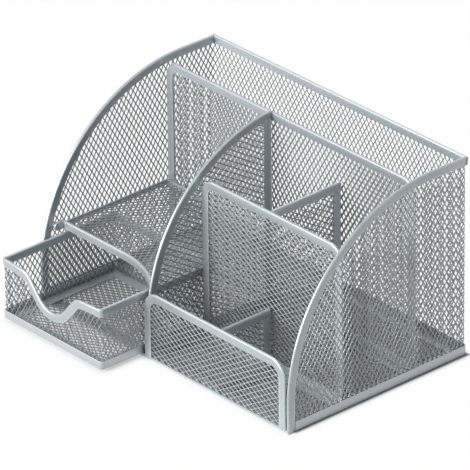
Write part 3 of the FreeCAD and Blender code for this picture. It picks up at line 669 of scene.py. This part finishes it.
class STAND_OT_dividers(Operator):
    """Weave and hem the curved middle divider and the two cross dividers"""
    bl_idname = "pen_stand.dividers"
    bl_label = "Dividers from front to back"

    def execute(self, context):
        nets, sizes = context.scene.stand_nets, context.scene.stand_folds
        inner = sizes.face - LAP
        lowest, highest, middle, section = hem_fold("middle_divider_hem", sizes, 0)
        radius, rear, foot = sizes.divider_curve, highest.y, lowest.z
        curve_top = high("side_hem_left").z - (highest.x - lowest.x)
        centre_y = lowest.y + radius
        rise = math.sqrt(radius ** 2 - (rear - centre_y) ** 2)
        rear_top = curve_top - radius + rise
        lean = math.asin((centre_y - rear) / radius)
        past = radius * math.tan((math.pi / 2 - lean) / 2)
        corner = Vector((middle, lowest.y, curve_top - radius + past))
        end = Vector((middle, rear, rear_top))
        curve = sweep("curve", section, (middle, lowest.y, foot), Y, X,
                      [(corner, radius), (end + (end - corner).normalized() * HEADING, None)])
        below_curve = 4.6 * MM
        upright = sweep("upright", under(section), (middle, rear, foot), -Y, X,
                        [((middle, rear, rear_top - below_curve), None)])
        sill = sweep("sill", under(section), (middle, lowest.y + inner, foot), Z, X,
                     [((middle, rear - inner, foot), None)])
        fold = join("middle_divider_fold", [curve, upright, sill])
        hand_over(fold, "stand", "hem", "middle_divider_hem")
        inside = in_side(lowest.y + TUCK, rear - TUCK, foot + TUCK, curve_top - TUCK, radius - TUCK)
        net = weave("middle_divider_net", nets, (lowest.y, foot), (rear, highest.z), inside,
                    long_across=True)
        set_place(net, ALONG, (middle, 0, 0))
        hand_over(net, "stand", "mesh", "middle_divider_mesh")

        for name in ("rear_cross", "front_cross"):
            lowest, highest, middle, section = hem_fold(name + "_hem", sizes, 0)
            top = sweep("top", section, (middle, lowest.y, highest.z), -Z, X,
                        [((middle, highest.y, highest.z), None)])
            upright = sweep("upright", under(section), (middle, highest.y, lowest.z), -Y, X,
                            [((middle, highest.y, highest.z - inner), None)])
            sill = sweep("sill", under(under(section)), (middle, lowest.y, lowest.z), Z, X,
                         [((middle, highest.y - inner, lowest.z), None)])
            fold = join(name + "_fold", [top, upright, sill])
            hand_over(fold, "stand", "hem", name + "_hem")
            in_front, front_cut = 4 * MM, 0.05 * MM
            inside = in_panel(-NO_LIMIT, highest.y - TUCK, lowest.z + TUCK, highest.z - TUCK, 0.0)
            net = weave(name + "_net", nets, (lowest.y - in_front, lowest.z), (highest.y, highest.z),
                        inside, long_across=True)
            trim(net, (lowest.y + front_cut, 0, 0), (-1, 0, 0))
            set_place(net, ALONG, (middle, 0, 0))
            hand_over(net, "stand", "mesh", name + "_mesh")
        return {"FINISHED"}


# -------------------------- the floor and shelf
class STAND_OT_floor(Operator):
    """Weave the floor and finish its smooth border and lip"""
    bl_idname = "pen_stand.floor"
    bl_label = "Floor of the stand"

    def execute(self, context):
        flat_net("floor_net", context.scene.stand_nets, "floor_mesh", "stand")
        coat_nodes("floor_border", "floor_lip")
        return {"FINISHED"}


class STAND_OT_shelf(Operator):
    """Weave the shelf, fold its bowed hem with the tab, and its thin upright edge"""
    bl_idname = "pen_stand.shelf"
    bl_label = "Shelf over the drawer"

    def execute(self, context):
        nets, sizes = context.scene.stand_nets, context.scene.stand_folds
        lowest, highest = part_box("shelf_hem")
        sheet_low, sheet_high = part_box("shelf_mesh")
        thick = high("side_hem_left").x - low("side_hem_left").x
        face = highest.z - lowest.z
        section = fold_section(sizes, thick, face)
        line = highest.y - thick / 2
        turn_x = low("side_hem_left").x + sizes.shelf_straight
        radius = sizes.shelf_curve + thick / 2
        swing = math.asin((highest.x - turn_x) / radius)
        past = radius * math.tan(swing / 2)
        corner = Vector((turn_x + past, line, highest.z))
        end = Vector((highest.x, line - radius * (1 - math.cos(swing)), highest.z))
        bow = sweep("bow", section, (lowest.x, line, highest.z), -Z, Y,
                    [(corner, radius), (end + (end - corner).normalized() * HEADING, None)])
        tab_front = line - thick / 2 - sizes.tab_length
        tab = round_lug("tab", Vector((lowest.x, tab_front, lowest.z)),
                        Vector((lowest.x + thick * THINNER, line, highest.z)), face / 2)
        fold = join("shelf_fold", [bow, tab])
        hand_over(fold, "stand", "hem", "shelf_hem")

        edge_low, edge_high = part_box("shelf_edge")
        half_edge, edge_deep = 0.4 * MM, edge_high.z - edge_low.z
        slope_down, slope_in = 0.12 * MM, 0.15 * MM
        edge_section = [(slope_down, half_edge), (0, half_edge - slope_in),
                        (0, slope_in - half_edge), (slope_down, -half_edge),
                        (edge_deep, -half_edge), (edge_deep, half_edge)]
        side_x, rear_y = edge_low.x + half_edge, edge_high.y - half_edge
        edge_corner = 1.0 * MM
        edge = sweep("shelf_edge_strip", edge_section, (side_x, edge_low.y, edge_high.z), -Z, X,
                     [((side_x, rear_y, edge_high.z), edge_corner),
                      ((edge_high.x, rear_y, edge_high.z), None)])
        hand_over(edge, "stand", "hem", "shelf_edge")

        centre = Vector((turn_x, line - radius))
        edge_radius = radius + LAP
        kept_straight, kept_round = 6 * MM, 7 * MM

        def keep(across, along):
            if across <= turn_x:
                return along > line - kept_straight
            return math.hypot(across - centre.x, along - centre.y) > edge_radius - kept_round

        spare_x, spare_y = 5 * MM, 8 * MM
        net = weave("shelf_net", nets, (sheet_low.x - spare_x, sheet_low.y - spare_y),
                    (sheet_high.x + spare_x, sheet_high.y + spare_y), keep, short_way=3.9 * MM)
        clear_selection()
        bpy.ops.mesh.primitive_cylinder_add(
            vertices=256, radius=edge_radius, depth=8 * MM, location=(centre.x, centre.y, 0))
        cut_away(net)
        clear_selection()
        block_long, block_deep, block_high = 0.2, 0.1, 0.01
        bpy.ops.mesh.primitive_cube_add(
            size=1, location=(turn_x - block_long / 2, line - block_deep / 2 + LAP, 0),
            scale=(block_long, block_deep, block_high))
        cut_away(net)
        trim(net, (sheet_low.x, 0, 0), (-1, 0, 0))
        trim(net, (sheet_high.x, 0, 0), (1, 0, 0))
        trim(net, (0, sheet_high.y, 0), (0, 1, 0))
        set_place(net, FLAT, (0, 0, (sheet_low.z + sheet_high.z) / 2))
        hand_over(net, "stand", "mesh", "shelf_mesh")
        return {"FINISHED"}


# ----------------------------------- the drawer
def scoop_shape(sizes, shoulder):
    """Where the sloping sides of the finger scoop would meet: height, and half their spread on top."""
    slope = sizes.scoop_slope
    tip = shoulder - sizes.scoop_deep - sizes.scoop_bottom * (1 / math.cos(slope) - 1)
    return tip, (shoulder - tip) / math.tan(slope)


class STAND_OT_drawer_net(Operator):
    """Weave the drawer wall in one net that bends round all four corners, and the drawer floor"""
    bl_idname = "pen_stand.drawer_net"
    bl_label = "Drawer nets"

    def execute(self, context):
        nets, sizes = context.scene.stand_nets, context.scene.stand_folds
        lowest = low("drawer_base_hem_front")
        highest = high("drawer_top_hem_back")
        half_fold = 1.0 * MM
        left, right = lowest.x + half_fold, highest.x - half_fold
        front, back = lowest.y + half_fold, highest.y - half_fold
        bend = sizes.drawer_corner - half_fold
        quarter = bend * math.pi / 2
        wide, deep = right - left - 2 * bend, back - front - 2 * bend
        total = 2 * wide + 2 * deep + 4 * quarter
        pitch = total / round(total / nets.short_way)
        top = highest.z - TUCK
        front_start = wide / 2 + quarter + deep + quarter
        shoulder = high("drawer_hem_front").z
        tip = scoop_shape(sizes, shoulder)[0]
        scoop_tuck, seam_gap = 3.0 * MM, pitch * 0.25

        def front_top(distance):
            offset = abs(distance - front_start - wide / 2)
            slope_line = tip + offset * math.tan(sizes.scoop_slope)
            floor_line = shoulder - sizes.scoop_deep
            return min(shoulder, max(slope_line, floor_line)) - scoop_tuck

        def keep(distance, up):
            if front_start < distance < front_start + wide:
                return up < front_top(distance)
            return up < top

        net = weave("drawer_net", nets, (0, 0), (total - seam_gap, highest.z), keep,
                    short_way=pitch, flip=True)
        trim(net, (0, low("drawer_side_mesh").z + CUT, 0), (0, -1, 0))
        score_bends(net, (wide / 2, wide / 2 + quarter + deep, front_start + wide,
                          front_start + wide + quarter + deep), quarter)
        set_place(net, ACROSS)
        mid_x = (left + right) / 2
        route = [(mid_x, back)]
        turns = (((left + bend, back - bend), 90), ((left + bend, front + bend), 180),
                 ((right - bend, front + bend), 270), ((right - bend, back - bend), 0))
        for centre, first in turns:
            route += arc_points(centre, bend, first, first + 90, steps=6)
        route.append((mid_x, back))
        bend_along(net, "drawer_route", route)
        hand_over(net, "drawer", "mesh", "drawer_front_mesh", "drawer_side_mesh")

        flat_net("drawer_floor_net", nets, "drawer_floor_mesh", "drawer")
        coat_nodes("drawer_floor_border")
        return {"FINISHED"}


class STAND_OT_drawer_folds(Operator):
    """Fold the hem round the top of the drawer, down into the scoop, and the flange round its base"""
    bl_idname = "pen_stand.drawer_folds"
    bl_label = "Drawer hems"

    def execute(self, context):
        sizes = context.scene.stand_folds
        lowest, highest = low("drawer_base_hem_front"), high("drawer_top_hem_back")
        thick = high("drawer_top_hem_left").x - low("drawer_top_hem_left").x
        half_thick = thick / 2
        section = fold_section(sizes, thick, sizes.face)
        left, right = lowest.x + half_thick, highest.x - half_thick
        front, back = lowest.y + half_thick, highest.y - half_thick
        top, shoulder = highest.z, high("drawer_hem_front").z
        corner = sizes.drawer_corner - half_thick
        past_corner = 0.6 * MM
        turn_in = front + corner + past_corner
        centre = (left + right) / 2
        tip, half = scoop_shape(sizes, shoulder)
        route = [
            ((right, front, top), corner),
            ((centre + half, front, shoulder), sizes.scoop_shoulder),
            ((centre, front, tip), sizes.scoop_bottom),
            ((centre - half, front, shoulder), sizes.scoop_shoulder),
            ((left, front, top), corner),
            ((left, turn_in, top), None),
        ]
        fold = sweep("drawer_front_fold", section, (right, turn_in, top), -Z, X, route)
        hand_over(fold, "drawer", "hem", "drawer_hem_front")
        for side, x in (("left", left), ("right", right)):
            fold = sweep(f"drawer_top_fold_{side}", section, (x, turn_in, top), -Z, X,
                         [((x, back + half_thick - thick, top), None)])
            hand_over(fold, "drawer", "hem", f"drawer_top_hem_{side}")
        fold = sweep("drawer_top_fold_back", section, (lowest.x, back, top), -Z, Y,
                     [((highest.x, back, top), None)])
        hand_over(fold, "drawer", "hem", "drawer_top_hem_back")

        flange = flange_section(sizes, thick, high("drawer_base_hem_front").z - lowest.z)
        seam = Vector((centre, highest.y, lowest.z))
        radius = sizes.drawer_corner
        corners = [((highest.x, highest.y, lowest.z), radius),
                   ((highest.x, lowest.y, lowest.z), radius),
                   (lowest, radius),
                   ((lowest.x, highest.y, lowest.z), radius),
                   (seam - X * SEAM, None)]
        fold = sweep("drawer_base_flange", flange, seam, Z, -Y, corners)
        hand_over(fold, "drawer", "hem", "drawer_base_hem_left",
                  "drawer_base_hem_right", "drawer_base_hem_back", "drawer_base_hem_front")
        return {"FINISHED"}


# ------------------------------------ the stage
TABLE_SIZE = 12
TABLE_BOUNCE = (0.06, 0.06, 0.06, 1)  # the table, for the light that it throws on the stand
WHITE = (1, 1, 1, 1)
WHITE_OUTSIDE = 0.985  # share of plain white on the open table
# less plain white under the stand and the drawer is painted shade; what shows there instead is the table
# lit by the lamps
WHITE_UNDER_STAND = 0.0
WHITE_UNDER_DRAWER = 0.45
PAINTED_SHADE_REACH = 3 * MM  # painted shade round the stand
COVER_REACH = 5 * MM  # height within which a thing over the table paints shade on it, by ambient occlusion
COVER_MOST = 0.4  # open share of the sky where that painted shade is fullest
COVER_SAMPLES = 16
SKY_STRENGTH = 0.03
LAMPS = (
    # name, place, target, size, power
    ("key", (-0.25, -1.25, 0.5), (0, 0, 0.05), 0.5, 28),
    ("fill", (2.3, -0.2, 0.7), (0, 0, 0.05), 0.8, 3.5),
    ("top", (-0.9, 1.2, 1.6), (0, 0, 0), 1.0, 4),
)
VIEW_AZIMUTH, VIEW_ELEVATION, VIEW_ROLL = (math.radians(v) for v in (48.755, 27.819, -0.753))
VIEW_DISTANCE = 3.73504
VIEW_TARGET = Vector((-13.948, 0, 56.02)) * MM
VIEW_LENS, VIEW_SENSOR = 488.6, 36
VIEW_NEAR, VIEW_FAR = 0.1, 30


def lamp(name, place, target, size, power):
    """A soft square lamp that faces a target."""
    clear_selection()
    bpy.ops.object.light_add(type="AREA", location=place)
    light = bpy.context.object
    light.name = name
    light.data.shape = "SQUARE"
    light.data.size = size
    light.data.energy = power
    facing = Vector(target) - Vector(place)
    light.rotation_euler = facing.to_track_quat("-Z", "Y").to_euler()


def mix(lit, share, first, second):
    """Blend two shaders of a material or a world."""
    links = lit.node_tree.links
    blend = lit.node_tree.nodes.new("ShaderNodeMixShader")
    links.new(share, blend.inputs[0])
    links.new(first, blend.inputs[1])
    links.new(second, blend.inputs[2])
    return blend.outputs[0]


def calculate(lit, operation, first, second):
    """A sum on two values of a material or a world."""
    links = lit.node_tree.links
    node = lit.node_tree.nodes.new("ShaderNodeMath")
    node.operation = operation
    node.use_clamp = True
    links.new(first, node.inputs[0])
    links.new(second, node.inputs[1])
    return node.outputs[0]


def shown_rays(lit):
    """One for the rays that show a surface, straight or reflected, and none for those that light."""
    path = lit.node_tree.nodes.new("ShaderNodeLightPath")
    total = path.outputs["Is Camera Ray"]
    for ray in ("Is Glossy Ray", "Is Transmission Ray"):
        total = calculate(lit, "ADD", total, path.outputs[ray])
    return total


def distance_from(material, lowest, highest):
    """How far a place on the table is from a footprint, and none under it."""
    nodes, links = material.node_tree.nodes, material.node_tree.links
    middle, half = (lowest + highest) / 2, (highest - lowest) / 2
    place = nodes.new("ShaderNodeTexCoord").outputs["Object"]
    for step, other in (("SUBTRACT", (middle.x, middle.y, 0)), ("ABSOLUTE", None),
                        ("SUBTRACT", (half.x, half.y, 0)), ("MAXIMUM", (0, 0, 0)), ("LENGTH", None)):
        sum_up = nodes.new("ShaderNodeVectorMath")
        sum_up.operation = step
        links.new(place, sum_up.inputs[0])
        if other:
            sum_up.inputs[1].default_value = other
        place = sum_up.outputs[0]
    return sum_up.outputs["Value"]


def white_share_with_painted_shade(material):
    """Share of plain white at a place on the table: less under the stand and under the drawer, a painted
    shade by footprint and ambient occlusion.
    """
    # painted shade under things that cover the table, read from ambient occlusion
    painted_shade_ao = material.node_tree.nodes.new("ShaderNodeAmbientOcclusion")
    painted_shade_ao.samples = COVER_SAMPLES
    painted_shade_ao.inputs["Distance"].default_value = COVER_REACH
    share = spread(material, painted_shade_ao.outputs["AO"], (COVER_MOST, 1.0),
                   (WHITE_UNDER_DRAWER, WHITE_OUTSIDE))
    stand_low, stand_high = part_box("base_hem")
    bay_right = high("middle_divider_hem").x
    footprints = ((Vector((bay_right, stand_low.y, 0)), stand_high, WHITE_UNDER_STAND),
                  (stand_low, Vector((bay_right, stand_high.y, 0)), WHITE_UNDER_DRAWER))
    for lowest, highest, least in footprints:
        # painted shade: the white fades out over each footprint and a little round it
        clear = spread(material, distance_from(material, lowest, highest), (0.0, PAINTED_SHADE_REACH),
                       (least, WHITE_OUTSIDE), smooth=True)
        share = calculate(material, "MINIMUM", share, clear)
    return share


def table_white(colour):
    """The table: plain white where it shows, with painted shade under and round the stand over its own lit
    shade, and dim in the light it throws.
    """
    material = bpy.data.materials.new("table_white")
    material.use_nodes = True
    nodes, links = material.node_tree.nodes, material.node_tree.links
    shader = nodes["Principled BSDF"]
    shader.inputs["Base Color"].default_value = (*colour, 1)
    shader.inputs["Roughness"].default_value = 0.9
    shader.inputs["Specular IOR Level"].default_value = 0.0
    glow = nodes.new("ShaderNodeEmission")
    glow.inputs["Color"].default_value = WHITE
    glow.inputs["Strength"].default_value = 1.0
    bounce = nodes.new("ShaderNodeBsdfDiffuse")
    bounce.inputs["Color"].default_value = TABLE_BOUNCE
    shown = mix(material, white_share_with_painted_shade(material), shader.outputs[0], glow.outputs[0])
    surface = mix(material, shown_rays(material), bounce.outputs[0], shown)
    links.new(surface, nodes["Material Output"].inputs["Surface"])
    return material


def white_surroundings():
    """The world: plain white where it shows, and a faint light on the stand."""
    world = bpy.data.worlds.new("white_surroundings")
    world.use_nodes = True
    nodes, links = world.node_tree.nodes, world.node_tree.links
    sky, plain = nodes["Background"], nodes.new("ShaderNodeBackground")
    for background, strength in ((sky, SKY_STRENGTH), (plain, 1.0)):
        background.inputs["Color"].default_value = WHITE
        background.inputs["Strength"].default_value = strength
    shown = mix(world, shown_rays(world), sky.outputs[0], plain.outputs[0])
    links.new(shown, nodes["World Output"].inputs["Surface"])
    return world


def add_camera():
    """A camera on the right of the front, above the stand, that looks down at it."""
    bpy.ops.object.camera_add()
    camera = bpy.context.object
    camera.name = "camera"
    back = Vector((math.sin(VIEW_AZIMUTH) * math.cos(VIEW_ELEVATION),
                   -math.cos(VIEW_AZIMUTH) * math.cos(VIEW_ELEVATION), math.sin(VIEW_ELEVATION)))
    level = (-back).cross(Z).normalized()
    upright = level.cross(-back)
    right = level * math.cos(VIEW_ROLL) + upright * math.sin(VIEW_ROLL)
    up = upright * math.cos(VIEW_ROLL) - level * math.sin(VIEW_ROLL)
    axes = Matrix((right, up, back)).transposed().to_4x4()
    camera.matrix_world = Matrix.Translation(VIEW_TARGET + back * VIEW_DISTANCE) @ axes
    camera.data.sensor_width = VIEW_SENSOR
    camera.data.lens = VIEW_LENS
    camera.data.clip_start, camera.data.clip_end = VIEW_NEAR, VIEW_FAR
    return camera


class STAND_OT_stage(Operator):
    """Set the table, the soft lamps, the white surroundings and the camera"""
    bl_idname = "pen_stand.stage"
    bl_label = "Table, light and camera"

    def execute(self, context):
        scene = context.scene
        clear_selection()
        bpy.ops.mesh.primitive_plane_add(size=TABLE_SIZE, location=(0, 0, 0))
        table = context.object
        table.name = "table"
        table.data.materials.append(table_white(scene.stand_finish.floor_colour))
        scene.world = white_surroundings()
        for settings in LAMPS:
            lamp(*settings)
        scene.camera = add_camera()
        scene.view_settings.view_transform = "Standard"
        return {"FINISHED"}


# ------------------------------------ the panel
BUILD_ORDER = (STAND_OT_wall_net, STAND_OT_wall_folds, STAND_OT_panels, STAND_OT_dividers,
               STAND_OT_floor, STAND_OT_shelf, STAND_OT_drawer_net, STAND_OT_drawer_folds,
               STAND_OT_stage)
GROUPS = {"stand_nets": ("Net", NetSizes), "stand_folds": ("Hems", FoldSizes),
          "stand_finish": ("Finish", Finish)}


class STAND_PT_sidebar(Panel):
    """Sizes and building steps of the pen stand"""
    bl_label = "Wire Mesh Pen Stand"
    bl_idname = "STAND_PT_sidebar"
    bl_space_type = "VIEW_3D"
    bl_region_type = "UI"
    bl_category = "Pen Stand"

    def draw(self, context):
        for name, (title, kind) in GROUPS.items():
            box = self.layout.box()
            box.label(text=title)
            for setting in kind.__annotations__:
                box.prop(getattr(context.scene, name), setting)
        for step in BUILD_ORDER:
            self.layout.operator(step.bl_idname)


CLASSES = (NetSizes, FoldSizes, Finish) + BUILD_ORDER + (STAND_PT_sidebar,)


def register():
    for item in CLASSES:
        bpy.utils.register_class(item)
    for name, (_, kind) in GROUPS.items():
        setattr(bpy.types.Scene, name, PointerProperty(type=kind))


def unregister():
    for name in GROUPS:
        delattr(bpy.types.Scene, name)
    for item in reversed(CLASSES):
        bpy.utils.unregister_class(item)


def main():
    register()
    for step in BUILD_ORDER:
        group, name = step.bl_idname.split(".")
        result = getattr(getattr(bpy.ops, group), name)()
        if result != {"FINISHED"}:
            raise RuntimeError(step.bl_label + " did not finish")


if __name__ == "__main__":
    main()
